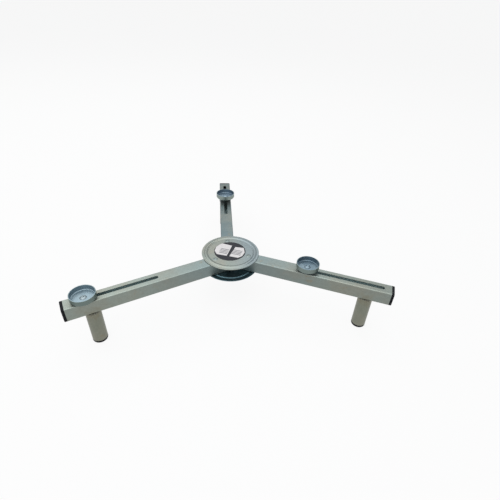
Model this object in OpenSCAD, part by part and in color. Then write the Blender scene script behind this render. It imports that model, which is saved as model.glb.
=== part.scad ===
// Folding three-arm support stand. Two pressed round plates clamp three square tube arms, each on its
// own pivot bolt. Every arm stands on a short tube leg welded under it, and has a slot in its top wall.
// A threaded block slides in the arm under the slot, and a shallow cup is screwed into it by a bolt.
// Millimetres. The origin is on the hub's axis, in the plane of the top plate's bead. +Z is up, and +Y
// runs from the hub's axis through the rear arm's pivot.

/* [Arms] */
// Width and height of the square arm tubes
arm_w = 30; // [28:1:36]
// Wall of the arm tubes
arm_wall = 1.5; // [1.2:0.1:2]
// Outside corner radius of the arm tubes
arm_corner = 2.5; // [2.1:0.1:3.5]
// Pivot axis to the outer end of an arm tube
arm_reach = 310; // [260:5:380]
// Hub's axis to the inner end of an arm tube that points straight out
arm_inner_r = 23; // [22:1:29]
// End of an arm tube to the outer end of its slot
slot_margin = 14; // [13:1:24]
// Length of a slot, end to end
slot_l = 167; // [120:1:180]

/* [Arm end plugs] */
// Thickness of a plug's head outside the tube
plug_head_t = 5.5; // [4:0.5:8]
// Rounding of a plug head's outer edges
plug_round = 1.5; // [0.5:0.1:2]
// Wall of a plug's hollow spigot
plug_wall = 2; // [1.5:0.1:3]
// Width of one rib on the spigots of the plugs and feet
rib_w = 1.2; // [0.8:0.1:1.5]
// Height of the ribs on the spigots of the plugs and feet
rib_h = 1; // [0.5:0.1:1.2]
// Ribs on a spigot
rib_count = 2; // [1:1:3]

/* [Hub plates] */
// Outside diameter of a hub plate
hub_d = 129; // [126:1:140]
// Thickness of the hub plate sheet
plate_t = 1.5; // [1.2:0.1:2.5]
// Edge of a hub plate in to the axis of a pivot
pivot_inset = 21.5; // [20.5:0.5:22.5]
// Edge of a hub plate in to the crest of its pressed bead
bead_inset = 9; // [7.5:0.5:9.5]
// Width of the bead, from foot to foot
bead_w = 9.4; // [7:0.1:10]
// Width of the flat along the bead's crest
bead_flat = 1.5; // [1:0.1:2.5]
// Height of the bead above the plate
bead_rise = 1.8; // [1.7:0.1:2.5]
// Rounding of a plate's outer edge
edge_round = 0.6; // [0.2:0.1:0.7]

/* [Pivots] */
// Pivot bolt diameter
pivot_bolt_d = 6; // [5:0.5:8]
// Pivot bolt head diameter
pivot_head_d = 11; // [10:0.5:14]
// Pivot bolt head height
pivot_head_h = 1.6; // [1.2:0.1:3]
// Outside diameter of the spacer sleeve on which an arm turns
sleeve_d = 10; // [9.5:0.5:12]
// Washer diameter under a pivot's nut
pivot_washer_d = 12; // [12:0.5:16]
// Washer thickness under a pivot's nut
pivot_washer_t = 1.6; // [1:0.1:2.5]
// Pivot lock nut, across its flats
pivot_nut_af = 10; // [9.5:0.5:13]
// Height of the pivot lock nut's hexagon
pivot_nut_h = 4.4; // [3.5:0.1:6]
// Height of the lock nut's round collar, with its nylon ring
pivot_collar_h = 1.6; // [1:0.1:3]
// Key size of the hex socket in a pivot bolt's head
pivot_key = 4; // [3:0.5:5]
// Thread that shows past a pivot's nut
pivot_end = 1.5; // [0.5:0.1:4]

/* [Legs] */
// Outside diameter of the leg tubes
leg_d = 30; // [26:1:32]
// Wall of the leg tubes
leg_wall = 2; // [1.5:0.1:3]
// Length of a leg tube
leg_l = 77.5; // [40:0.5:140]
// End of an arm tube to the axis of its leg
leg_margin = 46; // [30:1:70]
// Radius of the weld bead round the top of a leg
weld_r = 2.4; // [1.5:0.1:3]
// Thickness of a foot's sole under the leg tube
foot_t = 6.5; // [4:0.5:9]
// Rounding of a foot's lower edge
foot_round = 3; // [1:0.5:3.5]
// Length of a foot's spigot inside the leg tube
foot_spigot_l = 12; // [8:1:20]

/* [Cups] */
// Outside diameter of a cup
cup_d = 49; // [44:1:50]
// Outside height of a cup
cup_h = 12; // [9:0.5:16]
// Sheet of the cups
cup_t = 1.2; // [0.8:0.1:1.8]
// Outside rounding between a cup's floor and its wall
cup_round = 3; // [2:0.1:4]

/* [Cup fittings] */
// Cup bolt diameter
cup_bolt_d = 8; // [6:0.5:8]
// Length of a cup bolt under its head
cup_bolt_l = 28; // [24:1:29]
// Cup bolt head diameter
cup_head_d = 13; // [11:0.5:16]
// Cup bolt head height
cup_head_h = 3.2; // [2:0.1:4]
// Key size of the hex socket in a cup bolt's head
cup_key = 5; // [3:0.5:6]
// Thin nut that holds a cup on its bolt, across its flats
cup_nut_af = 13; // [12:0.5:15]
// Height of the thin nut under a cup
cup_nut_h = 2.4; // [2:0.1:4]
// Length of the threaded block along the arm
block_l = 14; // [12:1:18]
// Corner radius of the threaded block
block_corner = 1.5; // [1.2:0.1:3]

/* [Pose in the photo] */
// Rear arm's turn from its line through the hub's axis, in degrees
rear_turn = -7.5; // [-15:0.5:0]
// Left arm's turn from its line through the hub's axis, in degrees
left_turn = -12.5; // [-20:0.5:0]
// Right arm's turn from its line through the hub's axis, in degrees
right_turn = -0.5; // [-10:0.5:5]
// Rear cup's place along its slot, from 0 at the inner end to 1
rear_slide = 0.495; // [0:0.005:1]
// Left cup's place along its slot, from 0 at the inner end to 1
left_slide = 0.885; // [0:0.005:1]
// Right cup's place along its slot, from 0 at the inner end to 1
right_slide = 0; // [0:0.005:1]
// How far the rear cup is screwed up from its lowest place
rear_lift = 5; // [0:0.25:10]
// How far the left cup is screwed up from its lowest place
left_lift = 0; // [0:0.25:10]
// How far the right cup is screwed up from its lowest place
right_lift = 5; // [0:0.25:10]

/* [Clearances] */
// Radial running clearance of an arm on its sleeve
pivot_play = 0.08; // [0.05:0.01:0.1]
// Gap between faces that slide on each other
slide_gap = 0.1; // [0.05:0.05:0.2]
// Play of a cup bolt on each side of its slot
slot_play = 0.3; // [0.2:0.05:0.5]
// Radial clearance of bolts in plates, sleeves, washers and cups
bolt_play = 0.25; // [0.1:0.05:0.5]
// Radial gap that stands for the thread of nuts and blocks
thread_gap = 0.05; // [0.03:0.01:0.1]
// Gap round the spigots of plugs and feet, and round the welds
seat_gap = 0.05; // [0.03:0.01:0.2]
// Gap on each side of a threaded block in its tube
block_play = 0.3; // [0.2:0.05:0.6]
// Least gap between a threaded block and the end plug
block_room = 1.3; // [0.5:0.1:3]

/* [Hidden] */

// each arm: its name, its pivot's place round the hub, its turn there, its cup's place and height
ARMS = [
    ["rear", 90, rear_turn, rear_slide, rear_lift],
    ["left", 210, left_turn, left_slide, left_lift],
    ["right", 330, right_turn, right_slide, right_lift]
];

$fn = 64;
hub_r = hub_d / 2;
bead_r = hub_r - bead_inset;
bead_slope_w = (bead_w - bead_flat) / 2;
pivot_r = hub_r - pivot_inset;
arm_tail = pivot_r - arm_inner_r;

// heights, from the bead's crest down
plate_top_z = -bead_rise;
arm_top_z = plate_top_z - plate_t - slide_gap;
arm_mid_z = arm_top_z - arm_w / 2;
stack_h = plate_t * 2 + arm_w + slide_gap * 2;

arm_in_w = arm_w - arm_wall * 2;
arm_in_corner = arm_corner - arm_wall;
arm_hole_r = sleeve_d / 2 + pivot_play;
slot_w = cup_bolt_d + slot_play * 2;
slot_out = arm_reach - slot_margin;
slot_in = slot_out - slot_l;
travel_in = slot_in + slot_w / 2;
travel = slot_l - slot_w;
plug_spigot_l = slot_margin + slot_w / 2 - block_l / 2 - block_room;
leg_r = leg_d / 2;
leg_in_r = leg_r - leg_wall;
leg_at = arm_reach - leg_margin;
cup_r = cup_d / 2;
nut_chamfer = 0.8;
slope_steps = 8; // straight pieces in one slope of the bead
cut = 1; // how far a cutting shape runs past what it cuts

// ---- placing ----

// on the pivot's axis, at the height of the bead's crest
module at_pivot(arm) {
    rotate(arm[1]) translate([pivot_r, 0, 0]) children();
}

// in the arm's own frame: x runs out along the arm from its pivot, z = 0 is its top face
module at_arm(arm) {
    at_pivot(arm) rotate(arm[2]) translate([0, 0, arm_top_z]) children();
}

// on the cup's axis, at the arm's top face
module at_slot(arm) {
    at_arm(arm) translate([travel_in + travel * arm[3], 0, 0]) children();
}

// in the cup's own frame: z = 0 is the arm's top face when the cup is screwed right down
module at_cup(arm) {
    at_slot(arm) translate([0, 0, arm[4]]) children();
}

// ---- shapes that repeat ----

module rounded_square(w, r) {
    square([w, w - r * 2], center = true);
    square([w - r * 2, w], center = true);
    for (x = [-1, 1], y = [-1, 1])
        translate([x * (w / 2 - r), y * (w / 2 - r)]) circle(r);
}

// a square bar with rounded corners along +x from the origin, its top face at z = 0
module square_bar(l, w, r, top = 0) {
    translate([0, 0, top - w / 2]) rotate([90, 0, 90]) linear_extrude(l) rounded_square(w, r);
}

module ring(d, hole_d, h) {
    difference() {
        cylinder(d = d, h = h);
        translate([0, 0, -cut]) cylinder(d = hole_d, h = h + cut * 2);
    }
}

// a low round head that stands on z = 0, a slice of a ball, with a hex socket in its top
module dome_head(d, h, key) {
    ball_r = (d * d / 4 + h * h) / (h * 2);
    difference() {
        rotate_extrude() intersection() {
            translate([0, h - ball_r]) circle(ball_r, $fn = 180);
            square([d / 2, h]);
        }
        translate([0, 0, h / 3]) cylinder(d = key / cos(30), h = h, $fn = 6);
    }
}

module hex_nut(af, h, hole_d) {
    difference() {
        intersection() {
            cylinder(d = af / cos(30), h = h, $fn = 6);
            // the lathe's chamfer takes the six corners off both ends
            rotate_extrude() polygon([
                [0, 0], [af / 2, 0], [af / 2 + nut_chamfer, nut_chamfer * 0.5],
                [af / 2 + nut_chamfer, h - nut_chamfer * 0.5], [af / 2, h], [0, h]
            ]);
        }
        translate([0, 0, -cut]) cylinder(d = hole_d, h = h + cut * 2);
    }
}

// ---- hub ----

// height of the sheet at share t of the bead's slope, an S-curve from 0 to the crest
function slope_z(t) = bead_rise * (1 - cos(180 * t)) / 2;

// one face of the sheet from the axis outwards: flat, bead, flat rim, with corners rounded by r
function sheet_face(r) = concat(
    [[0, 0]],
    [for (i = [0 : slope_steps])
        [bead_r - bead_w / 2 + bead_slope_w * i / slope_steps, slope_z(i / slope_steps)]],
    [for (i = [0 : slope_steps])
        [bead_r + bead_flat / 2 + bead_slope_w * i / slope_steps, slope_z(1 - i / slope_steps)]],
    [[hub_r - r, 0]]
);

// half section of a pressed plate, its upper face at z = 0
module plate_section() {
    top = sheet_face(edge_round);
    polygon(concat(
        top,
        [for (a = [15 : 15 : 90]) [hub_r - edge_round * (1 - sin(a)), -edge_round * (1 - cos(a))]],
        [for (a = [0 : 15 : 75])
            [hub_r - edge_round * (1 - cos(a)), -plate_t + edge_round * (1 - sin(a))]],
        [for (i = [len(top) - 1 : -1 : 0]) [top[i][0], top[i][1] - plate_t]]
    ));
}

module pressed_plate() {
    difference() {
        translate([0, 0, plate_top_z]) rotate_extrude($fn = 180) plate_section();
        for (arm = ARMS)
            at_pivot(arm) translate([0, 0, plate_top_z - plate_t - cut])
                cylinder(d = pivot_bolt_d + bolt_play * 2, h = plate_t + cut * 2);
    }
}

module hub_top_plate() {
    color("#b4bab4") pressed_plate();
}

// the same pressing, turned over under the arms
module hub_bottom_plate() {
    color("#a9afa9") translate([0, 0, arm_mid_z]) mirror([0, 0, 1]) translate([0, 0, -arm_mid_z]) pressed_plate();
}

module pivot_bolt() {
    shank_l = stack_h + pivot_washer_t + pivot_nut_h + pivot_collar_h + pivot_end;
    color("#c3c7c4") translate([0, 0, plate_top_z]) {
        dome_head(pivot_head_d, pivot_head_h, pivot_key);
        translate([0, 0, -shank_l]) cylinder(d = pivot_bolt_d, h = shank_l);
    }
}

module pivot_sleeve() {
    color("#8f958f") translate([0, 0, plate_top_z - stack_h + plate_t])
        ring(sleeve_d, pivot_bolt_d + bolt_play * 2, stack_h - plate_t * 2);
}

module pivot_washer() {
    color("#b9beba") translate([0, 0, plate_top_z - stack_h - pivot_washer_t])
        ring(pivot_washer_d, pivot_bolt_d + bolt_play * 2, pivot_washer_t);
}

module pivot_nut() {
    hole_d = pivot_bolt_d + thread_gap * 2;
    color("#b0b5b1") translate([0, 0, plate_top_z - stack_h - pivot_washer_t - pivot_nut_h]) {
        hex_nut(pivot_nut_af, pivot_nut_h, hole_d);
        translate([0, 0, -pivot_collar_h]) ring(pivot_nut_af - nut_chamfer, hole_d, pivot_collar_h);
    }
}

// ---- arms ----

module arm_tube() {
    color("#a3aaa3") difference() {
        translate([-arm_tail, 0, 0]) square_bar(arm_tail + arm_reach, arm_w, arm_corner);
        translate([-arm_tail - cut, 0, 0])
            square_bar(arm_tail + arm_reach + cut * 2, arm_in_w, arm_in_corner, -arm_wall);
        // the pivot's holes, through both walls
        translate([0, 0, -arm_w - cut]) cylinder(r = arm_hole_r, h = arm_w + cut * 2);
        // the slot, through the top wall only
        translate([0, 0, -arm_wall - cut]) {
            translate([travel_in, -slot_w / 2, 0]) cube([travel, slot_w, arm_wall + cut * 2]);
            for (x = [travel_in, travel_in + travel])
                translate([x, 0, 0]) cylinder(d = slot_w, h = arm_wall + cut * 2);
        }
    }
}

module arm_plug() {
    spigot_w = arm_in_w - seat_gap * 2;
    core_w = spigot_w - rib_h * 2;
    core_r = max(arm_in_corner - seat_gap, 0.5);
    rib_pitch = plug_spigot_l / (rib_count + 1);
    color("#1d1e23") translate([arm_reach, 0, 0]) {
        // the head, a rounded square with softened outer edges
        hull() {
            square_bar(plug_head_t - plug_round, arm_w, arm_corner, $fn = 32);
            for (step = [30, 60, 90])
                square_bar(plug_head_t - plug_round * (1 - sin(step)),
                    arm_w - plug_round * (1 - cos(step)) * 2, arm_corner, -plug_round * (1 - cos(step)), $fn = 32);
        }
        difference() {
            union() {
                translate([-plug_spigot_l, 0, 0])
                    square_bar(plug_spigot_l, core_w, core_r, -(arm_w - core_w) / 2);
                for (i = [1 : rib_count])
                    translate([-plug_spigot_l + rib_pitch * i - rib_w / 2, 0, 0])
                        square_bar(rib_w, spigot_w, core_r, -(arm_w - spigot_w) / 2);
            }
            translate([-plug_spigot_l - cut, 0, 0])
                square_bar(plug_spigot_l + cut, core_w - plug_wall * 2, core_r, -(arm_w - core_w) / 2 - plug_wall);
        }
    }
}

// ---- legs ----

module leg_tube() {
    color("#989f98") translate([leg_at, 0, -arm_w - leg_l]) ring(leg_d, leg_in_r * 2, leg_l);
}

// the bead fills the corner between leg and arm, and the gap at the arm's rounded edges
module leg_weld() {
    color("#8b8f89") difference() {
        translate([leg_at, 0, -arm_w]) rotate_extrude() translate([leg_r, 0]) circle(weld_r, $fn = 32);
        translate([leg_at - leg_d, 0, seat_gap])
            square_bar(leg_d * 2, arm_w + seat_gap * 2, arm_corner + seat_gap);
        translate([leg_at, 0, -arm_w - leg_l]) cylinder(r = leg_r + seat_gap, h = leg_l + seat_gap);
    }
}

module leg_foot() {
    rib_pitch = foot_spigot_l / (rib_count + 1);
    spigot_r = leg_in_r - seat_gap;
    color("#1b1c21") translate([leg_at, 0, -arm_w - leg_l]) {
        rotate_extrude() {
            // the sole, with its rounded lower edge
            translate([0, -foot_t]) square([leg_r - foot_round, foot_t]);
            translate([0, -foot_t + foot_round]) square([leg_r, foot_t - foot_round]);
            intersection() {
                translate([leg_r - foot_round, -foot_t + foot_round]) circle(foot_round);
                translate([leg_r - foot_round, -foot_t]) square(foot_round);
            }
            // the spigot and its ribs
            translate([spigot_r - rib_h - plug_wall, 0]) square([plug_wall, foot_spigot_l]);
            for (i = [1 : rib_count])
                translate([spigot_r - rib_h - plug_wall / 2, rib_pitch * i - rib_w / 2])
                    square([rib_h + plug_wall / 2, rib_w]);
        }
    }
}

// ---- cups ----

cup_floor_z = slide_gap + cup_nut_h;

// half section of a cup: floor, rounded corner, wall
module cup_section() {
    in_round = max(cup_round - cup_t, 0.4);
    difference() {
        union() {
            square([cup_r - cup_round, cup_h]);
            translate([0, cup_round]) square([cup_r, cup_h - cup_round]);
            translate([cup_r - cup_round, cup_round]) circle(cup_round);
        }
        union() {
            translate([0, cup_t]) square([cup_r - cup_t - in_round, cup_h]);
            translate([0, cup_t + in_round]) square([cup_r - cup_t, cup_h]);
            translate([cup_r - cup_t - in_round, cup_t + in_round]) circle(in_round);
        }
    }
}

module cup() {
    color("#a7b6c1") translate([0, 0, cup_floor_z]) difference() {
        rotate_extrude($fn = 120) cup_section();
        translate([0, 0, -cut]) cylinder(d = cup_bolt_d + bolt_play * 2, h = cup_t + cut * 2);
    }
}

module cup_bolt() {
    color("#b7c4cc") translate([0, 0, cup_floor_z + cup_t]) {
        dome_head(cup_head_d, cup_head_h, cup_key);
        translate([0, 0, -cup_bolt_l]) cylinder(d = cup_bolt_d, h = cup_bolt_l);
    }
}

module cup_nut() {
    color("#a9b2b6") translate([0, 0, slide_gap])
        hex_nut(cup_nut_af, cup_nut_h, cup_bolt_d + thread_gap * 2);
}

// a block that fills the tube under the slot, so it can't turn or drop, threaded for the cup's bolt
module slide_block() {
    block_w = arm_in_w - block_play * 2;
    color("#7d8381") difference() {
        translate([-block_l / 2, 0, 0]) square_bar(block_l, block_w, block_corner, -arm_wall - block_play);
        translate([0, 0, -arm_w]) cylinder(d = cup_bolt_d + thread_gap * 2, h = arm_w);
    }
}

hub_top_plate();
hub_bottom_plate();
for (arm = ARMS) {
    at_pivot(arm) pivot_bolt();
    at_pivot(arm) pivot_sleeve();
    at_pivot(arm) pivot_washer();
    at_pivot(arm) pivot_nut();
    at_arm(arm) arm_tube();
    at_arm(arm) arm_plug();
    at_arm(arm) leg_tube();
    at_arm(arm) leg_weld();
    at_arm(arm) leg_foot();
    at_cup(arm) cup();
    at_cup(arm) cup_bolt();
    at_cup(arm) cup_nut();
    at_slot(arm) slide_block();
}
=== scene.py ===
import math
import random

import bpy
from mathutils import Matrix, Vector
from mathutils.bvhtree import BVHTree


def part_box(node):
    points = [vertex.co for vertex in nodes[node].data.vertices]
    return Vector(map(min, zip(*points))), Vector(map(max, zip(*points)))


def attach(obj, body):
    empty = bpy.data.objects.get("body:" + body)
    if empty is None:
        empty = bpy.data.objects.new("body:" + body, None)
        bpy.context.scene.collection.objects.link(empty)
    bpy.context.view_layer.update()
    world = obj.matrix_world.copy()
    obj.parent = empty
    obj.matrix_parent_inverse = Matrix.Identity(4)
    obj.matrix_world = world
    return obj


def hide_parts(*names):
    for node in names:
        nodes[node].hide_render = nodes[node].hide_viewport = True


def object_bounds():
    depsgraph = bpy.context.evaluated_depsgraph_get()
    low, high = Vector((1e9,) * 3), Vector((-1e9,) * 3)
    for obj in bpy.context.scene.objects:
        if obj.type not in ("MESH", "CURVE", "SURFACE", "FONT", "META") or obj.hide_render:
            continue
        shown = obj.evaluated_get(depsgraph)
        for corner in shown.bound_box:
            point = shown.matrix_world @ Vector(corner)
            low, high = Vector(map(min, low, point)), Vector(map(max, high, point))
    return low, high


# Folding three-arm support stand: zinc-plated hub and arms, blue zinc cups, black moulded plugs and feet.
# Metres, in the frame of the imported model: the hub's axis is z, and z = 0 is the top of the top plate's bead.

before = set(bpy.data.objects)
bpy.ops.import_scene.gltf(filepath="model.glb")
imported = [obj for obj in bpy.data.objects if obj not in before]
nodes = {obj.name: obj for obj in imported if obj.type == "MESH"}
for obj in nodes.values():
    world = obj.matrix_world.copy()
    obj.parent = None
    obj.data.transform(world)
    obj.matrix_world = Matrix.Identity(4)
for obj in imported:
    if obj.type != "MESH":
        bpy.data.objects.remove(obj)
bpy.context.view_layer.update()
mm = 0.001
print("frame loaded:", len(nodes), "nodes")

# camera, settled from the image points
cameraValues = {
    "lens": 26.273,              # millimetres, as the sensor
    "sensor": 36,
    "clip": (0.02, 2000),        # metres
    "aim": (45.8, 2.15, -3.4),   # millimetres, as the distance
    "distance": 838.0,
    "azimuth": -13.553,          # degrees from straight in front, to the left
    "elevation": 35.846,
    "roll": 2.753,
}
imageSize = 500


def makeCamera():
    v = cameraValues
    turn, rise, roll = (math.radians(v[name]) for name in ("azimuth", "elevation", "roll"))
    back = Vector((math.sin(turn) * math.cos(rise), -math.cos(turn) * math.cos(rise), math.sin(rise)))
    level = Vector((math.cos(turn), math.sin(turn), 0))
    upright = back.cross(level)
    right = level * math.cos(roll) + upright * math.sin(roll)
    up = upright * math.cos(roll) - level * math.sin(roll)
    data = bpy.data.cameras.new("mainCamera")
    data.sensor_fit = "AUTO"
    data.sensor_width = v["sensor"]
    data.lens = v["lens"]
    data.clip_start, data.clip_end = v["clip"]
    camera = bpy.data.objects.new("mainCamera", data)
    bpy.context.scene.collection.objects.link(camera)
    place = (Vector(v["aim"]) + back * v["distance"]) * mm
    camera.matrix_world = Matrix.Translation(place) @ Matrix((right, up, back)).transposed().to_4x4()
    bpy.context.scene.camera = camera
    return camera


camera = makeCamera()

# x, y in the photograph's frame, where one number is an edge's place
imagePoints = {
    "objectLeft": (58.0, None),
    "objectRight": (395.2, None),
    "objectTop": (None, 183.2),
    "objectBottom": (None, 343.0),
    "hubPlateLeft": (202.0, None),
    "hubPlateRight": (258.8, None),
    "lowerPlateBottom": (None, 280.6),
    "pivotBoltRear": (227.6, 240.9),
    "pivotBoltLeft": (214.9, 258.9),
    "pivotBoltRight": (248.6, 255.9),
    "label": (229.9, 251.1),
    "cupLeft": (81.4, 293.9),
    "cupRight": (308.0, 263.4),
    "cupRear": (225.5, 193.3),
    "legLeftBottom": (None, 342.9),
    "legRightBottom": (None, 328.1),
}
# where a ray that misses is tried, in metres from the camera: from in front of the object to behind it
raySteps = {"first": 0.5, "step": 0.004, "count": 250}


def pointRay(x, y):
    data = camera.data
    size = imageSize
    along = Vector((x - size / 2 + data.shift_x * size, size / 2 - y + data.shift_y * size,
                    -size * data.lens / data.sensor_width))
    return camera.matrix_world.translation, (camera.matrix_world.to_3x3() @ along).normalized()


def treeOf(objects):
    points, faces = [], []
    for obj in objects:
        start = len(points)
        points += [obj.matrix_world @ v.co for v in obj.data.vertices]
        faces += [[start + i for i in face.vertices] for face in obj.data.polygons]
    return BVHTree.FromPolygons(points, faces)


def placeOn(name, carriers):
    # where the image point's ray meets what carries the piece, or the place nearest the ray
    start, along = pointRay(*imagePoints[name])
    tree = treeOf(carriers)
    place = tree.ray_cast(start, along)[0]
    if place is None:
        v = raySteps
        near = [tree.find_nearest(start + along * (v["first"] + v["step"] * i)) for i in range(v["count"])]
        place = min(near, key=lambda hit: hit[3])[0]
    return place


# materials: colours are sRGB, a noise's scale is 1 / its size in millimetres, a bump is its strength and its
# height in millimetres, and a roughness is its lowest and highest value
noiseSpan = (0.3, 0.7)           # where most of a noise's values lie


def toLinear(colour):
    parts = [int(colour[i:i + 2], 16) / 255 for i in (1, 3, 5)]
    return tuple(c / 12.92 if c <= 0.04045 else ((c + 0.055) / 1.055) ** 2.4 for c in parts) + (1.0,)


def newMaterial(name):
    material = bpy.data.materials.new(name)
    material.use_nodes = True
    material.node_tree.nodes.clear()
    return material


def addNode(owner, kind, settings=None, sockets=None):
    # sockets: a value to set, or another node's output to link, for each socket's name or number
    node = owner.node_tree.nodes.new(kind)
    for name, value in (settings or {}).items():
        setattr(node, name, value)
    for name, value in (sockets or {}).items():
        if isinstance(value, bpy.types.NodeSocket):
            owner.node_tree.links.new(value, node.inputs[name])
        else:
            node.inputs[name].default_value = value
    return node


def fromTo(read, give=(0.0, 1.0)):
    # the sockets of a Map Range: the range that it reads, and the range that it gives
    return {1: read[0], 2: read[1], 3: give[0], 4: give[1]}


def millimetres(material, centre=(0, 0, 0), turn=0.0):
    # object coordinates in millimetres, from a centre in metres and turned about z
    coordinates = addNode(material, "ShaderNodeTexCoord")
    return addNode(material, "ShaderNodeMapping", {"vector_type": "TEXTURE"}, {
        "Vector": coordinates.outputs["Object"], "Location": centre,
        "Rotation": (0, 0, turn), "Scale": (mm, mm, mm)}).outputs["Vector"]


def fromAxis(material, apart):
    # how far out a place is from the piece's axis
    flat = addNode(material, "ShaderNodeCombineXYZ", None, {0: apart[0], 1: apart[1]}).outputs[0]
    return addNode(material, "ShaderNodeVectorMath", {"operation": "LENGTH"}, {0: flat}).outputs["Value"]


def layered(material, colour, layers):
    # each tint in turn lies over the colour so far, by its own amount
    for amount, tint in layers:
        colour = addNode(material, "ShaderNodeMix", {"data_type": "RGBA"}, {
            0: amount, 6: colour, 7: toLinear(tint)}).outputs[2]
    return colour


def finishMaterial(material, v, sockets, cloudy, relief):
    # roughness follows one pattern and the bump another
    roughness = addNode(material, "ShaderNodeMapRange", None, {
        0: cloudy, **fromTo(noiseSpan, v["roughness"])}).outputs[0]
    strength, height = v["bump"]
    bump = addNode(material, "ShaderNodeBump", None, {
        "Strength": strength, "Distance": height * mm, "Height": relief}).outputs[0]
    shader = addNode(material, "ShaderNodeBsdfPrincipled", None, {
        **sockets, "Roughness": roughness, "Normal": bump})
    addNode(material, "ShaderNodeOutputMaterial", None, {"Surface": shader.outputs[0]})
    return material


zincTubeValues = {
    # dull grey-green zinc; the legs' tube is more olive. The arms' tones are painted light and shade, set arm
    # by arm: the rear arm is darker and bluer, and the left lighter than the right
    "tones": {"rear": "#646f6f", "left": "#868e87", "right": "#7f8781", "leg": "#797c70"},
    "warm": "#898679",           # patches where the passivation is thicker
    "shadeBlue": "#6a7c81",           # painted shade: bluer towards the hub
    "stain": "#83765f",          # small brown handling stains
    "straw": "#77705a",          # heat tint round the leg's weld
    "inside": "#a2b7b7",         # pale, powdery zinc inside the tube
    "metallic": 0.85,
    "roughness": (0.37, 0.50),
    "bump": (0.1, 0.03),
    "patches": {"Scale": 1 / 70, "Detail": 3.0, "Roughness": 0.6},
    "mottle": {"Scale": 1 / 7, "Detail": 2.5, "Roughness": 0.5},
    "spots": {"Scale": 1 / 22, "Detail": 5.0, "Roughness": 0.7},
    "rags": {"Scale": 1 / 8, "Detail": 4.0},
    "lines": {"Scale": 1.0, "Detail": 2.0},
    "lineLength": 90,
    "lineSpacing": 1.6,          # drawn coarser than the real 0.1
    "lineShare": 0.35,           # of the draw lines beside the mottle
    # what each pattern's values are read from and to, and what they give
    "warmth": ((0.42, 0.66), (0.0, 0.6)),
    "blueShade": ((190.0, 30.0), (0.0, 0.5)),     # painted shade, by millimetres out from the arm's pivot
    "shade": ((0.45, 0.9), (0.95, 1.05)),
    "stains": ((0.6, 0.72), (0.0, 0.5)),
    "heat": ((-5.0, 6.0), (0.0, 0.45)),          # millimetres inside the tint's ragged edge
    "weld": (264.0, 0.0, -31.0),                 # millimetres from the pivot at the top of the arm
    "heatReach": 7.0,
    "heatRags": 26.0,
    "halfWidth": 15.0,
    "wall": 13.7,                # half the width in the thickness of the wall
}


def zincTube(name, pivot, turn, tone, along):
    # square tube, drawn and welded, zinc-plated and passivated: satin metal, blotched, with long faint lines,
    # and painted shade that turns it bluer towards the hub
    v = zincTubeValues
    material = newMaterial(name)
    place = millimetres(material, pivot, turn)
    apart = addNode(material, "ShaderNodeSeparateXYZ", None, {0: place}).outputs
    patches = addNode(material, "ShaderNodeTexNoise", None, {"Vector": place, **v["patches"]}).outputs["Fac"]
    warmth = addNode(material, "ShaderNodeMapRange", None, {0: patches, **fromTo(*v["warmth"])}).outputs[0]
    blueShade = addNode(material, "ShaderNodeMapRange", None, {
        0: apart[0], **fromTo(*v["blueShade"])}).outputs[0]
    # painted shade: the colour turns bluer towards the hub
    colour = layered(material, toLinear(tone), ((warmth, v["warm"]), (blueShade, v["shadeBlue"])))
    # faint mottle, and draw lines along the tube's own axis
    mottle = addNode(material, "ShaderNodeTexNoise", None, {"Vector": place, **v["mottle"]}).outputs["Fac"]
    stretched = addNode(material, "ShaderNodeVectorMath", {"operation": "MULTIPLY"}, {
        0: place, 1: [1 / v["lineLength" if axis == along else "lineSpacing"] for axis in "xyz"]}).outputs[0]
    lines = addNode(material, "ShaderNodeTexNoise", None, {"Vector": stretched, **v["lines"]}).outputs["Fac"]
    both = addNode(material, "ShaderNodeMath", {"operation": "MULTIPLY_ADD"}, {
        0: lines, 1: v["lineShare"], 2: mottle}).outputs[0]
    shade = addNode(material, "ShaderNodeMapRange", None, {0: both, **fromTo(*v["shade"])}).outputs[0]
    colour = addNode(material, "ShaderNodeVectorMath", {"operation": "SCALE"}, {
        0: colour, "Scale": shade}).outputs[0]
    spots = addNode(material, "ShaderNodeTexNoise", None, {"Vector": place, **v["spots"]}).outputs["Fac"]
    stains = addNode(material, "ShaderNodeMapRange", None, {0: spots, **fromTo(*v["stains"])}).outputs[0]
    # heat tint, a ragged ring round the leg's weld
    fromWeld = addNode(material, "ShaderNodeVectorMath", {"operation": "DISTANCE"}, {
        0: place, 1: v["weld"]}).outputs["Value"]
    rags = addNode(material, "ShaderNodeTexNoise", None, {"Vector": place, **v["rags"]}).outputs["Fac"]
    reach = addNode(material, "ShaderNodeMath", {"operation": "MULTIPLY_ADD"}, {
        0: rags, 1: v["heatRags"], 2: v["heatReach"]}).outputs[0]
    near = addNode(material, "ShaderNodeMath", {"operation": "SUBTRACT"}, {0: reach, 1: fromWeld}).outputs[0]
    heat = addNode(material, "ShaderNodeMapRange", None, {0: near, **fromTo(*v["heat"])}).outputs[0]
    # inside the tube's wall the zinc is thin and powdery
    sides = addNode(material, "ShaderNodeMath", {"operation": "ABSOLUTE"}, {0: apart[1]}).outputs[0]
    height = addNode(material, "ShaderNodeMath", {"operation": "ADD"}, {
        0: apart[2], 1: v["halfWidth"]}).outputs[0]
    height = addNode(material, "ShaderNodeMath", {"operation": "ABSOLUTE"}, {0: height}).outputs[0]
    depth = addNode(material, "ShaderNodeMath", {"operation": "MAXIMUM"}, {0: sides, 1: height}).outputs[0]
    inside = addNode(material, "ShaderNodeMath", {"operation": "LESS_THAN"}, {
        0: depth, 1: v["wall"]}).outputs[0]
    colour = layered(material, colour, ((stains, v["stain"]), (heat, v["straw"]), (inside, v["inside"])))
    metallic = addNode(material, "ShaderNodeMapRange", None, {
        0: inside, **fromTo((0.0, 1.0), (v["metallic"], 0.0))}).outputs[0]
    return finishMaterial(material, v, {"Base Color": colour, "Metallic": metallic}, patches, both)


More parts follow.
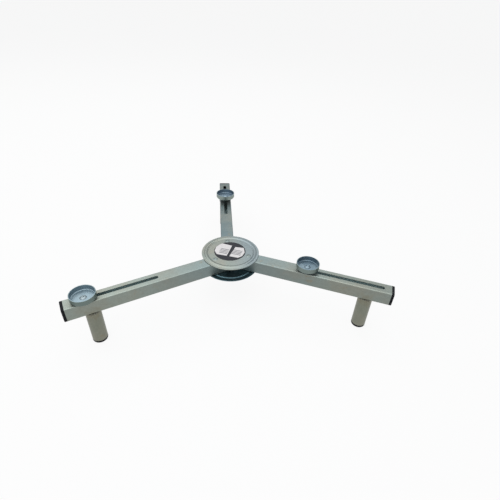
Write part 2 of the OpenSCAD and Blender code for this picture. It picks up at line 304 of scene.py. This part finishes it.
zincSheetValues = {
    # painted shade: the upper plate turns bluer to one side, the side away from the light, and the lower plate,
    # in the top plate's shade, is darker and bluer all over
    "upper": {"plain": "#7f8680", "warm": "#87867c", "shadeBlue": "#778388"},
    "lower": {"plain": "#56717a", "warm": "#5f767c"},
    "creaseShade": "#3c423f",          # painted shade in the fold at the foot of the bead
    "metallic": 0.9,
    "roughness": (0.32, 0.43),
    "bump": (0.03, 0.05),
    "patches": {"Scale": 1 / 38, "Detail": 4.0, "Roughness": 0.6},
    "scratches": {"Scale": 1.0, "Detail": 3.0, "Distortion": 0.4},
    "scratchSize": (40, 1.5, 40),                # millimetres each way
    "drift": 40.0,               # millimetres by which the patches move the blue side's edge
    "warmth": ((0.4, 0.7), (0.0, 1.0)),
    "blueShade": ((5.0, 60.0), (0.0, 0.8)),       # millimetres to the side of the hub's axis
    "shade": (0.98, 1.02),
    "creaseShading": ((0.8, 0.1), (0.0, 0.5)),            # painted shade, by millimetres from the bead's inner foot
    "foot": 50.6,                # radius of that foot
}


def zincSheet(name, plate):
    # pressed sheet steel, zinc-plated: satin, softly blotched, with fine wiping scratches and painted shade
    # darkening the fold at the bead's foot
    v = zincSheetValues
    tones = v[plate]
    material = newMaterial(name)
    place = millimetres(material)
    apart = addNode(material, "ShaderNodeSeparateXYZ", None, {0: place}).outputs
    patches = addNode(material, "ShaderNodeTexNoise", None, {"Vector": place, **v["patches"]}).outputs["Fac"]
    warmth = addNode(material, "ShaderNodeMapRange", None, {0: patches, **fromTo(*v["warmth"])}).outputs[0]
    layers = [(warmth, tones["warm"])]
    # painted shade: bluer to one side of the plate
    if "shadeBlue" in tones:
        side = addNode(material, "ShaderNodeMath", {"operation": "MULTIPLY_ADD"}, {
            0: patches, 1: v["drift"], 2: apart[0]}).outputs[0]
        blueShade = addNode(material, "ShaderNodeMapRange", None, {
            0: side, **fromTo(*v["blueShade"])}).outputs[0]
        layers.append((blueShade, tones["shadeBlue"]))
    colour = layered(material, toLinear(tones["plain"]), layers)
    wiped = addNode(material, "ShaderNodeVectorMath", {"operation": "MULTIPLY"}, {
        0: place, 1: [1 / size for size in v["scratchSize"]]}).outputs[0]
    scratches = addNode(material, "ShaderNodeTexNoise", None, {
        "Vector": wiped, **v["scratches"]}).outputs["Fac"]
    shade = addNode(material, "ShaderNodeMapRange", None, {
        0: scratches, **fromTo(noiseSpan, v["shade"])}).outputs[0]
    colour = addNode(material, "ShaderNodeVectorMath", {"operation": "SCALE"}, {
        0: colour, "Scale": shade}).outputs[0]
    # painted shade: darker in the fold at the bead's inner foot
    fromFoot = addNode(material, "ShaderNodeMath", {"operation": "SUBTRACT"}, {
        0: fromAxis(material, apart), 1: v["foot"]}).outputs[0]
    fromFoot = addNode(material, "ShaderNodeMath", {"operation": "ABSOLUTE"}, {0: fromFoot}).outputs[0]
    creaseShading = addNode(material, "ShaderNodeMapRange", None, {0: fromFoot, **fromTo(*v["creaseShading"])}).outputs[0]
    colour = layered(material, colour, [(creaseShading, v["creaseShade"])])
    return finishMaterial(material, v, {"Base Color": colour, "Metallic": v["metallic"]}, patches, scratches)


blueZincValues = {
    # blue passivated zinc inside the cup; outside it is handled, greyer and duller. The tones differ from cup
    # to cup as painted light and shade, each cup set lighter or darker by how light falls on it
    "inside": {"rear": "#6f808d", "left": "#83949c", "right": "#687a85"},
    "outside": {"rear": "#87928d", "left": "#6b7874", "right": "#77837f"},
    "pale": "#8a999f",
    "metallic": 0.9,
    "roughness": (0.41, 0.52),
    "bump": (0.03, 0.03),
    "rings": {"Scale": 1 / 1.1, "Detail": 2.0},  # drawing rings, drawn coarser than the real 0.3
    "clouds": {"Scale": 1 / 14, "Detail": 3.0},
    "paleness": ((0.4, 0.75), (0.0, 0.7)),
    "wall": 23.9,                # radius in the middle of the cup's wall
}


def blueZinc(name, centre, arm):
    # pressed cup, bright zinc with blue passivation: smooth, with faint rings from its drawing
    v = blueZincValues
    material = newMaterial(name)
    place = millimetres(material, centre)
    apart = addNode(material, "ShaderNodeSeparateXYZ", None, {0: place}).outputs
    radius = fromAxis(material, apart)
    ringPlace = addNode(material, "ShaderNodeCombineXYZ", None, {0: radius, 2: apart[2]}).outputs[0]
    rings = addNode(material, "ShaderNodeTexNoise", None, {"Vector": ringPlace, **v["rings"]}).outputs["Fac"]
    clouds = addNode(material, "ShaderNodeTexNoise", None, {"Vector": place, **v["clouds"]}).outputs["Fac"]
    paleness = addNode(material, "ShaderNodeMapRange", None, {0: clouds, **fromTo(*v["paleness"])}).outputs[0]
    outside = addNode(material, "ShaderNodeMath", {"operation": "GREATER_THAN"}, {
        0: radius, 1: v["wall"]}).outputs[0]
    # painted light and shade: each cup has its own inside and outside tones
    colour = layered(material, toLinear(v["inside"][arm]), (
        (paleness, v["pale"]), (outside, v["outside"][arm])))
    return finishMaterial(material, v, {"Base Color": colour, "Metallic": v["metallic"]}, clouds, rings)


plainMetalValues = {
    # bolts, washers and nuts, bright zinc: clean metal with a little tumbling grain
    "zincFastener": {"colour": "#7f8886", "second": "#707876", "grain": 1.4,
                     "roughness": (0.40, 0.55), "bump": (0.08, 0.1)},
    # the left cup's bolt: painted highlight, a lighter copy of the zinc so that its head reads brighter than
    # the cup
    "highlightCupBolt": {"colour": "#98a3a6", "second": "#8b979b", "grain": 1.6,
                    "roughness": (0.45, 0.60), "bump": (0.08, 0.1)},
    # sleeves and sliding blocks, bare mild steel, turned or sawn: darker, with an oily cloudiness
    "mildSteel": {"colour": "#6f7371", "second": "#5b5d59", "grain": 3.0,
                  "roughness": (0.37, 0.52), "bump": (0.15, 0.1)},
    # welds, steel melted and then plated: dark scale with straw and brown in it
    "weldScale": {"colour": "#74756c", "second": "#4a4238", "grain": 2.6,
                  "roughness": (0.45, 0.60), "bump": (0.4, 0.1)},
}
plainClouds = {"Detail": 4.0, "Roughness": 0.6}
secondTone = (0.4, 0.65)         # where the second colour sets in and is full


def plainMetal(name):
    v = plainMetalValues[name]
    material = newMaterial(name)
    clouds = addNode(material, "ShaderNodeTexNoise", None, {
        "Vector": millimetres(material), "Scale": 1 / v["grain"], **plainClouds}).outputs["Fac"]
    amount = addNode(material, "ShaderNodeMapRange", None, {0: clouds, **fromTo(secondTone)}).outputs[0]
    colour = layered(material, toLinear(v["colour"]), [(amount, v["second"])])
    return finishMaterial(material, v, {"Base Color": colour, "Metallic": 1.0}, clouds, clouds)


blackPlasticValues = {
    "colour": "#08090f",
    "dust": "#12141c",
    "ior": 1.51,
    "sheen": 0.12,               # specular level: the fine grain keeps it dull
    "roughness": (0.49, 0.67),
    "bump": (0.25, 0.05),
    "grain": 0.9,                # moulded grain, drawn coarser than the real 0.2
    "clouds": {"Scale": 1 / 9, "Detail": 4.0},
    "dustiness": ((0.5, 0.75), (0.0, 0.6)),
}


def blackPlastic(name):
    # plugs and feet, low-density polyethylene, injection-moulded: near-black, with a matt grain and some dust
    v = blackPlasticValues
    material = newMaterial(name)
    place = millimetres(material)
    grain = addNode(material, "ShaderNodeTexVoronoi", None, {
        "Vector": place, "Scale": 1 / v["grain"]}).outputs["Distance"]
    clouds = addNode(material, "ShaderNodeTexNoise", None, {"Vector": place, **v["clouds"]}).outputs["Fac"]
    dusty = addNode(material, "ShaderNodeMapRange", None, {0: clouds, **fromTo(*v["dustiness"])}).outputs[0]
    colour = layered(material, toLinear(v["colour"]), [(dusty, v["dust"])])
    return finishMaterial(material, v, {
        "Base Color": colour, "IOR": v["ior"], "Specular IOR Level": v["sheen"]}, clouds, grain)


# each arm's pivot and direction, and its cup's and leg's places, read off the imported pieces
def middle(name):
    low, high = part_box(name)
    return (low + high) / 2


arms = {}
for arm in ("rear", "left", "right"):
    pivot = middle("pivot_sleeve_" + arm)
    leg = middle("leg_tube_" + arm)
    arms[arm] = {
        "pivot": Vector((pivot.x, pivot.y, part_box("arm_tube_" + arm)[1].z)),
        "turn": math.atan2(leg.y - pivot.y, leg.x - pivot.x),
        "cup": middle("cup_" + arm),
        "leg": leg,
    }


def paint(name, material):
    mesh = nodes[name].data
    mesh.materials.clear()
    mesh.materials.append(material)


zincFastener = plainMetal("zincFastener")
highlightCupBolt = plainMetal("highlightCupBolt")
mildSteel = plainMetal("mildSteel")
weldScale = plainMetal("weldScale")
polyethylene = blackPlastic("mouldedPolyethylene")
paint("hub_top_plate", zincSheet("zincPressedSheet_upper", "upper"))
# painted shade: the lower plate's sheet is darker and bluer
paint("hub_bottom_plate", zincSheet("zincPressedSheet_lower", "lower"))
for arm, facts in arms.items():
    tones = zincTubeValues["tones"]
    armTube = zincTube("zincTube_" + arm, facts["pivot"], facts["turn"], tones[arm], "x")
    legTube = zincTube("zincLegTube_" + arm, facts["pivot"], facts["turn"], tones["leg"], "z")
    cupZinc = blueZinc("blueZinc_" + arm, facts["cup"], arm)
    for piece, material in (
            ("arm_tube_", armTube), ("leg_tube_", legTube), ("leg_weld_", weldScale),
            ("arm_plug_", polyethylene), ("leg_foot_", polyethylene),
            # painted highlight: the left cup's bolt alone gets the lighter zinc
            ("cup_", cupZinc), ("cup_bolt_", highlightCupBolt if arm == "left" else cupZinc),
            ("cup_nut_", zincFastener), ("slide_block_", mildSteel),
            ("pivot_bolt_", zincFastener), ("pivot_sleeve_", mildSteel),
            ("pivot_washer_", zincFastener), ("pivot_nut_", zincFastener)):
        paint(piece + arm, material)
print("materials on", len(nodes), "nodes")


def deselectAll():
    if bpy.context.mode != "OBJECT":
        bpy.ops.object.mode_set(mode="OBJECT")
    bpy.ops.object.select_all(action="DESELECT")


def pick(obj):
    # this object alone is selected and active, in object mode
    deselectAll()
    obj.select_set(True)
    bpy.context.view_layer.objects.active = obj


def ownPlace(obj):
    # the finished piece's object goes to the origin, unturned and unscaled
    pick(obj)
    bpy.ops.object.transform_apply(location=True, rotation=True, scale=True)
    obj.select_set(False)


# label on the top plate, left generic: a dark disc, and two pale fields with plain grey bars printed on them
labelValues = {
    "sides": 96,
    "radius": 35.6 * mm,
    "margin": 0.6 * mm,          # from the fields to the disc's edge
    "thickness": 0.16 * mm,
    "print": 0.03 * mm,          # how far the fields stand up from the disc
    "colour": "#14151d",
    "paper": "#c2bfbf",
    "ink": "#55565c",
    "inkShare": 0.42,            # of a row's spacing
    # millimetres from the label's middle: each field's corners in order, then the middle of its bars, their
    # turn in degrees, and their length, rows and spacing
    "fields": {
        "leftField": {
            "corners": [(-14, 33.5), (8.5, 20), (-10, -16.3), (-31, -6.5), (-34, 6.4), (-28, 22)],
            "bars": {"middle": (-12.5, 3.5), "turn": -28, "length": 19, "rows": 4, "spacing": 5.0},
        },
        "rightField": {
            "corners": [(15, 13.5), (33.5, 7), (32, -10.7), (24, -23), (13.5, -27.7), (-4.6, -19)],
            "bars": {"middle": (15.5, -6.5), "turn": -28, "length": 21, "rows": 4, "spacing": 5.0},
        },
    },
}
vinylValues = {
    "ior": 1.53,
    "sheen": 0.2,
    "roughness": (0.3, 0.42),
    "bump": (0.1, 0.1),
    "peel": {"Scale": 1 / 3, "Detail": 3.0},
    "wear": ((0.3, 0.75), (0.92, 1.06)),
}


def vinyl(name, colour, bars=None, centre=None):
    # printed vinyl film, laid on by hand: satin, with a slight orange peel
    v = vinylValues
    material = newMaterial(name)
    peel = addNode(material, "ShaderNodeTexNoise", None, {
        "Vector": millimetres(material), **v["peel"]}).outputs["Fac"]
    wear = addNode(material, "ShaderNodeMapRange", None, {0: peel, **fromTo(*v["wear"])}).outputs[0]
    tone = addNode(material, "ShaderNodeRGB").outputs[0]
    tone.default_value = toLinear(colour)
    if bars:
        tone = printedBars(material, tone, bars, centre)
    tone = addNode(material, "ShaderNodeVectorMath", {"operation": "SCALE"}, {
        0: tone, "Scale": wear}).outputs[0]
    return finishMaterial(material, v, {
        "Base Color": tone, "IOR": v["ior"], "Specular IOR Level": v["sheen"]}, peel, peel)


def printedBars(material, tone, bars, centre):
    # rows of ink inside a block, for the words that are left out
    place = millimetres(material, centre + Vector((*bars["middle"], 0)) * mm, math.radians(bars["turn"]))
    apart = addNode(material, "ShaderNodeSeparateXYZ", None, {0: place}).outputs
    row = addNode(material, "ShaderNodeMath", {"operation": "WRAP"}, {
        0: apart[1], 1: bars["spacing"], 2: 0.0}).outputs[0]
    inked = addNode(material, "ShaderNodeMath", {"operation": "LESS_THAN"}, {
        0: row, 1: bars["spacing"] * labelValues["inkShare"]}).outputs[0]
    for along, size in ((apart[0], bars["length"]), (apart[1], bars["rows"] * bars["spacing"])):
        away = addNode(material, "ShaderNodeMath", {"operation": "ABSOLUTE"}, {0: along}).outputs[0]
        within = addNode(material, "ShaderNodeMath", {"operation": "LESS_THAN"}, {
            0: away, 1: size / 2}).outputs[0]
        inked = addNode(material, "ShaderNodeMath", {"operation": "MULTIPLY"}, {
            0: inked, 1: within}).outputs[0]
    return layered(material, tone, [(inked, labelValues["ink"])])


def startFilm(name, radius, place):
    # a flat round film, in edit mode
    deselectAll()
    bpy.ops.mesh.primitive_circle_add(vertices=labelValues["sides"], radius=radius, fill_type="NGON",
                                      location=place)
    film = bpy.context.object
    film.name = name
    bpy.ops.object.mode_set(mode="EDIT")
    return film


def finishFilm(film, thickness, material):
    bpy.ops.mesh.select_all(action="SELECT")
    bpy.ops.mesh.extrude_region_move(TRANSFORM_OT_translate={"value": (0, 0, thickness)})
    bpy.ops.mesh.select_all(action="SELECT")
    bpy.ops.mesh.normals_make_consistent(inside=False)
    bpy.ops.object.mode_set(mode="OBJECT")
    film.data.materials.append(material)
    ownPlace(film)
    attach(film, "hub")
    return film


def makeLabel():
    v = labelValues
    place = placeOn("label", [nodes["hub_top_plate"]])
    disc = startFilm("label_disc", v["radius"], place)
    made = [finishFilm(disc, v["thickness"], vinyl("label_disc_vinyl", v["colour"]))]
    for name, facts in v["fields"].items():
        field = startFilm("label_" + name, v["radius"] - v["margin"], place + Vector((0, 0, v["thickness"])))
        corners = facts["corners"]
        for (x, y), (nextX, nextY) in zip(corners, corners[1:] + corners[:1]):
            # everything outside the edge between two corners is cut off
            outwards = Vector((y - nextY, nextX - x, 0)).normalized()
            bpy.ops.mesh.select_all(action="SELECT")
            bpy.ops.mesh.bisect(plane_co=place + Vector((x, y, 0)) * mm, plane_no=outwards,
                                use_fill=False, clear_outer=True)
        paper = vinyl(field.name + "_vinyl", v["paper"], facts["bars"], place)
        made.append(finishFilm(field, v["print"], paper))
    return made


added = makeLabel()
print("label made")

# welds round the tops of the legs, laid in overlapping scales
weldValues = {
    "scales": 31,
    "step": 2.6 * mm,            # half sizes of a scale: along the seam, outwards and in height
    "width": 2.3 * mm,
    "height": 2.1 * mm,
    "radius": 15.9 * mm,         # of the seam's middle
    "drop": 0.7 * mm,            # its middle below the arm
    # beside the arm's rounded corners there is no ledge: the seam draws in and down, and is thinner
    "thinning": 0.9 * mm,
    "leaner": 0.4,
    # what the hand leaves uneven: a scale's place along the seam, in scales, and outwards and in height, in
    # millimetres, its tilt in radians, and its length and width
    "along": 0.16,
    "out": 0.25,
    "rise": 0.2,
    "tilt": (0.25, 0.5),
    "lengths": (0.8, 1.1),
    "widths": (0.85, 1.1),
    "fuse": {"mode": "VOXEL", "voxel_size": 0.36 * mm, "use_smooth_shade": True},
    "melt": {"factor": 0.5, "iterations": 2},
}


def makeWeld(arm, facts, first):
    # first: where the seam starts, as an angle, and the seed of its unevenness
    v = weldValues
    seam = Vector((facts["leg"].x, facts["leg"].y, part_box("leg_tube_" + arm)[1].z - v["drop"]))
    draw = random.Random(first)
    deselectAll()
    for i in range(v["scales"]):
        turn = 2 * math.pi * (i + draw.uniform(-v["along"], v["along"])) / v["scales"] + first
        # 0 under the arm's middle and 1 beside it
        beside = abs(math.sin(turn - facts["turn"])) ** 3
        radius = v["radius"] + draw.uniform(-v["out"], v["out"]) * mm - beside * v["thinning"]
        fullness = 1 - v["leaner"] * beside
        bpy.ops.mesh.primitive_ico_sphere_add(
            subdivisions=2, radius=1.0, rotation=(0, draw.uniform(*v["tilt"]), turn + math.pi / 2),
            location=seam + Vector((math.cos(turn) * radius, math.sin(turn) * radius,
                                    draw.uniform(-v["rise"], v["rise"]) * mm - beside * v["thinning"])),
            scale=(v["step"] * draw.uniform(*v["lengths"]),
                   v["width"] * fullness * draw.uniform(*v["widths"]), v["height"] * fullness))
        if i == 0:
            # the other scales are added to the first one's mesh
            weld = bpy.context.object
            weld.name = "weld_bead_" + arm
            bpy.ops.object.mode_set(mode="EDIT")
    ownPlace(weld)
    pick(weld)
    for name, kind in (("fuse", "REMESH"), ("melt", "SMOOTH")):
        modifier = weld.modifiers.new(name, kind)
        for key, value in v[name].items():
            setattr(modifier, key, value)
        bpy.ops.object.modifier_apply(modifier=name)
    weld.data.materials.clear()
    weld.data.materials.append(weldScale)
    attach(weld, "arm_" + arm)
    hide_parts("leg_weld_" + arm)
    return weld


for number, (arm, facts) in enumerate(arms.items()):
    added.append(makeWeld(arm, facts, number + 1.0))
print("welds made")

# bolts with real threads: the CAD bolt's head and plain shank, then a helical ridge on a core
threadValues = {
    # radius and pitch of M8 and M6 threads, and where the thread starts below the bolt's top
    "cup_bolt": {"radius": 4.0 * mm, "pitch": 1.25 * mm, "start": 5.2 * mm,
                 "body": "cup_", "slot": "blue_zinc"},
    "pivot_bolt": {"radius": 3.0 * mm, "pitch": 1.0 * mm, "start": 34.0 * mm,
                   "body": "hub", "slot": "zinc_fastener"},
}
ridgeValues = {
    "size": 0.52,                # from the middle of its three-sided section to a corner, in pitches
    "overlap": 0.12 * mm,        # of the core over the thread's root
    "reach": 0.5 * mm,           # of the core up into the shank
    "ends": 1.6,                 # room left at the thread's ends, in ridge sizes
    "steps": 20,                 # in one turn
    "sides": 32,                 # of the core
    "merge": {"bolt": 0.005 * mm, "ridge": 0.001 * mm},
    "smooth": 30,                # degrees, up to which an edge is smooth
}


def plainShank(node, name, cut):
    # the CAD bolt's head and plain shank, cut off where the thread starts
    bolt = bpy.data.objects.new(name, node.data.copy())
    bpy.context.scene.collection.objects.link(bolt)
    pick(bolt)
    bpy.ops.object.mode_set(mode="EDIT")
    bpy.ops.mesh.select_all(action="SELECT")
    bpy.ops.mesh.remove_doubles(threshold=ridgeValues["merge"]["bolt"])
    bpy.ops.mesh.bisect(plane_co=cut, plane_no=(0, 0, 1), use_fill=True, clear_inner=True)
    bpy.ops.object.mode_set(mode="OBJECT")
    return bolt


def helicalRidge(v, ridge, root, foot, top):
    # a three-sided section, with one corner outwards and two in the core, turned up from foot to top
    deselectAll()
    bpy.ops.mesh.primitive_circle_add(vertices=3, radius=ridge, fill_type="NOTHING",
                                      rotation=(math.pi / 2, 0, 0), location=(0, 0, 0))
    thread = bpy.context.object
    bpy.ops.object.transform_apply(location=True, rotation=True, scale=True)
    bpy.ops.object.mode_set(mode="EDIT")
    bpy.ops.mesh.select_all(action="SELECT")
    bpy.ops.transform.rotate(value=-math.pi / 2, orient_axis="Y", orient_type="GLOBAL",
                             center_override=(0, 0, 0))
    bpy.ops.transform.translate(value=(root + 0.5 * ridge, 0, foot.z + ridge))
    bpy.ops.object.mode_set(mode="OBJECT")
    screw = thread.modifiers.new("screw", "SCREW")
    screw.axis = "Z"
    screw.angle = 2 * math.pi
    screw.screw_offset = v["pitch"]
    screw.iterations = int((top - foot.z - ridgeValues["ends"] * ridge) / v["pitch"])
    screw.steps = screw.render_steps = ridgeValues["steps"]
    screw.use_merge_vertices = True
    bpy.ops.object.modifier_apply(modifier="screw")
    bpy.ops.object.mode_set(mode="EDIT")
    bpy.ops.mesh.select_all(action="SELECT")
    bpy.ops.mesh.remove_doubles(threshold=ridgeValues["merge"]["ridge"])
    bpy.ops.mesh.fill_holes(sides=3)
    bpy.ops.mesh.normals_make_consistent(inside=False)
    bpy.ops.transform.translate(value=(foot.x, foot.y, 0))
    bpy.ops.object.mode_set(mode="OBJECT")
    return thread


def makeThreadedBolt(kind, arm):
    v = threadValues[kind]
    node = nodes[kind + "_" + arm]
    low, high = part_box(node.name)
    axis = (low + high) / 2
    top = high.z - v["start"]
    ridge = ridgeValues["size"] * v["pitch"]
    root = v["radius"] - 1.5 * ridge         # a three-sided section is 1.5 times as high as its size
    bolt = plainShank(node, kind + "_threaded_" + arm, (axis.x, axis.y, top))
    coreTop = top + ridgeValues["reach"]
    deselectAll()
    bpy.ops.mesh.primitive_cylinder_add(
        vertices=ridgeValues["sides"], radius=root + ridgeValues["overlap"], depth=coreTop - low.z,
        location=(axis.x, axis.y, (coreTop + low.z) / 2))
    core = bpy.context.object
    thread = helicalRidge(v, ridge, root, Vector((axis.x, axis.y, low.z)), top)
    for obj in (bolt, core, thread):
        obj.select_set(True)
    bpy.context.view_layer.objects.active = bolt
    bpy.ops.object.join()
    bpy.ops.object.shade_smooth_by_angle(angle=math.radians(ridgeValues["smooth"]))
    bolt.data.materials.clear()
    bolt.data.materials.append(node.data.materials[0])
    ownPlace(bolt)
    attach(bolt, v["body"] + (arm if v["body"] == "cup_" else ""))
    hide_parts(node.name)
    return bolt


for arm in arms:
    for kind in threadValues:
        added.append(makeThreadedBolt(kind, arm))
print("threaded bolts made")

# floor, lamps and world
stageValues = {
    "floorRadius": 500.0,
    "floorSides": 64,
    "floor": "#cccccc",
    "white": 0.9,                # share of plain white that the camera and the metal see on the floor
    "world": 0.45,               # light from all round
    "backdrop": 0.86,            # the same world, as the camera and the metal see it
    "sky": (0.96, 1.0, 1.03, 1.0),
    # lamp: place in metres, size in metres, brightness where 1 is white, and the place it is aimed at
    "lamps": {
        "overheadLamp": {"place": (-0.55, 0.55, 1.9), "size": (3.6, 3.7), "level": 1.65,
                         "aim": (-0.55, 0.55, 0)},
        "frontLamp": {"place": (-0.8, -1.5, 1.4), "size": (1.3, 1.1), "level": 2.0,
                      "aim": (0, 0, 0)},
    },
}


def seenRays(owner):
    # 1 where the camera, or a reflection or glass in front of it, sees the background, and 0 for its light
    rays = addNode(owner, "ShaderNodeLightPath").outputs
    seen = rays["Is Camera Ray"]
    for kind in ("Is Glossy Ray", "Is Transmission Ray"):
        seen = addNode(owner, "ShaderNodeMath", {"operation": "MAXIMUM"}, {0: seen, 1: rays[kind]}).outputs[0]
    return seen


def makeFloor():
    v = stageValues
    deselectAll()
    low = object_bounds()[0]
    bpy.ops.mesh.primitive_circle_add(vertices=v["floorSides"], radius=v["floorRadius"], fill_type="NGON",
                                      location=(0, 0, low[2]))
    floor = bpy.context.object
    floor.name = "floor"
    material = newMaterial("paleFloor")
    plain = addNode(material, "ShaderNodeBsdfDiffuse", None, {"Color": toLinear(v["floor"])})
    white = addNode(material, "ShaderNodeEmission", None, {"Color": (1, 1, 1, 1), "Strength": 1.0})
    share = addNode(material, "ShaderNodeMath", {"operation": "MULTIPLY"}, {
        0: seenRays(material), 1: v["white"]}).outputs[0]
    both = addNode(material, "ShaderNodeMixShader", None, {
        0: share, 1: plain.outputs[0], 2: white.outputs[0]})
    addNode(material, "ShaderNodeOutputMaterial", None, {"Surface": both.outputs[0]})
    floor.data.materials.append(material)


def makeLamp(name, lamp):
    data = bpy.data.lights.new(name, "AREA")
    data.shape = "RECTANGLE"
    data.size, data.size_y = lamp["size"]
    data.energy = lamp["level"] * math.pi * data.size * data.size_y
    obj = bpy.data.objects.new(name, data)
    bpy.context.scene.collection.objects.link(obj)
    obj.location = lamp["place"]
    obj.rotation_euler = (Vector(lamp["aim"]) - Vector(lamp["place"])).to_track_quat("-Z", "Y").to_euler()


def makeWorld():
    v = stageValues
    world = bpy.data.worlds.new("studio")
    bpy.context.scene.world = world
    world.use_nodes = True
    world.node_tree.nodes.clear()
    light = addNode(world, "ShaderNodeBackground", None, {"Color": v["sky"], "Strength": v["world"]})
    shown = addNode(world, "ShaderNodeBackground", None, {"Color": v["sky"], "Strength": v["backdrop"]})
    both = addNode(world, "ShaderNodeMixShader", None, {
        0: seenRays(world), 1: light.outputs[0], 2: shown.outputs[0]})
    addNode(world, "ShaderNodeOutputWorld", None, {"Surface": both.outputs[0]})


makeFloor()
for name, lamp in stageValues["lamps"].items():
    makeLamp(name, lamp)
makeWorld()
bpy.context.scene.view_settings.view_transform = "Standard"
print("stage made")

# where each piece's vertices show in the image
shownValues = {
    "most": 6000,                # vertices of a piece, past which only the outermost in the image are tried
    "outermost": 400,            # of them on each side
    "clearance": 0.6 * mm,       # how near in front of a vertex its own surface may be
    "boltHead": -1.7 * mm,       # the heights above which lie the bolts' heads and the cups' rims
    "lowRim": 10.9 * mm,
    "highRim": 15.9 * mm,
}


def seenPoints(names, tree, above=-math.inf):
    # where in the image the vertices above a height show
    v = shownValues
    start = camera.matrix_world.translation
    data = camera.data
    inverse = camera.matrix_world.inverted()
    found = []
    for name in names:
        obj = bpy.data.objects[name]
        for vertex in obj.data.vertices:
            place = obj.matrix_world @ vertex.co
            if place.z <= above:
                continue
            local = inverse @ place
            x = imageSize / 2 - local.x / local.z * imageSize * data.lens / data.sensor_width
            y = imageSize / 2 + local.y / local.z * imageSize * data.lens / data.sensor_width
            found.append((x, y, place))
    if len(found) > v["most"]:
        # only the outermost can be an edge
        byX = sorted(found, key=lambda p: p[0])
        byY = sorted(found, key=lambda p: p[1])
        count = v["outermost"]
        found = byX[:count] + byX[-count:] + byY[:count] + byY[-count:]
    shown = []
    for x, y, place in found:
        away = place - start
        if tree.ray_cast(start, away.normalized(), away.length - v["clearance"])[0] is None:
            shown.append((x, y))
    return shown


def writePoints():
    v = shownValues
    shownPieces = [o for o in nodes.values() if not o.hide_render] + added
    tree = treeOf(shownPieces)
    everything = seenPoints([o.name for o in shownPieces], tree)
    plate = seenPoints(["hub_top_plate"], tree)
    # the lowest place that shows of a piece
    for name, piece in (("lowerPlateBottom", "hub_bottom_plate"), ("legLeftBottom", "leg_foot_left"),
                        ("legRightBottom", "leg_foot_right")):
        max(p[1] for p in seenPoints([piece], tree))
    # what shows of a piece above a height
    for name, piece, above in (
            ("pivotBoltRear", "pivot_bolt_threaded_rear", v["boltHead"]),
            ("pivotBoltLeft", "pivot_bolt_threaded_left", v["boltHead"]),
            ("pivotBoltRight", "pivot_bolt_threaded_right", v["boltHead"]),
            ("label", "label_disc", -math.inf), ("cupLeft", "cup_left", v["lowRim"]),
            ("cupRight", "cup_right", v["highRim"]), ("cupRear", "cup_rear", v["highRim"])):
        spots = seenPoints([piece], tree, above)


writePoints()
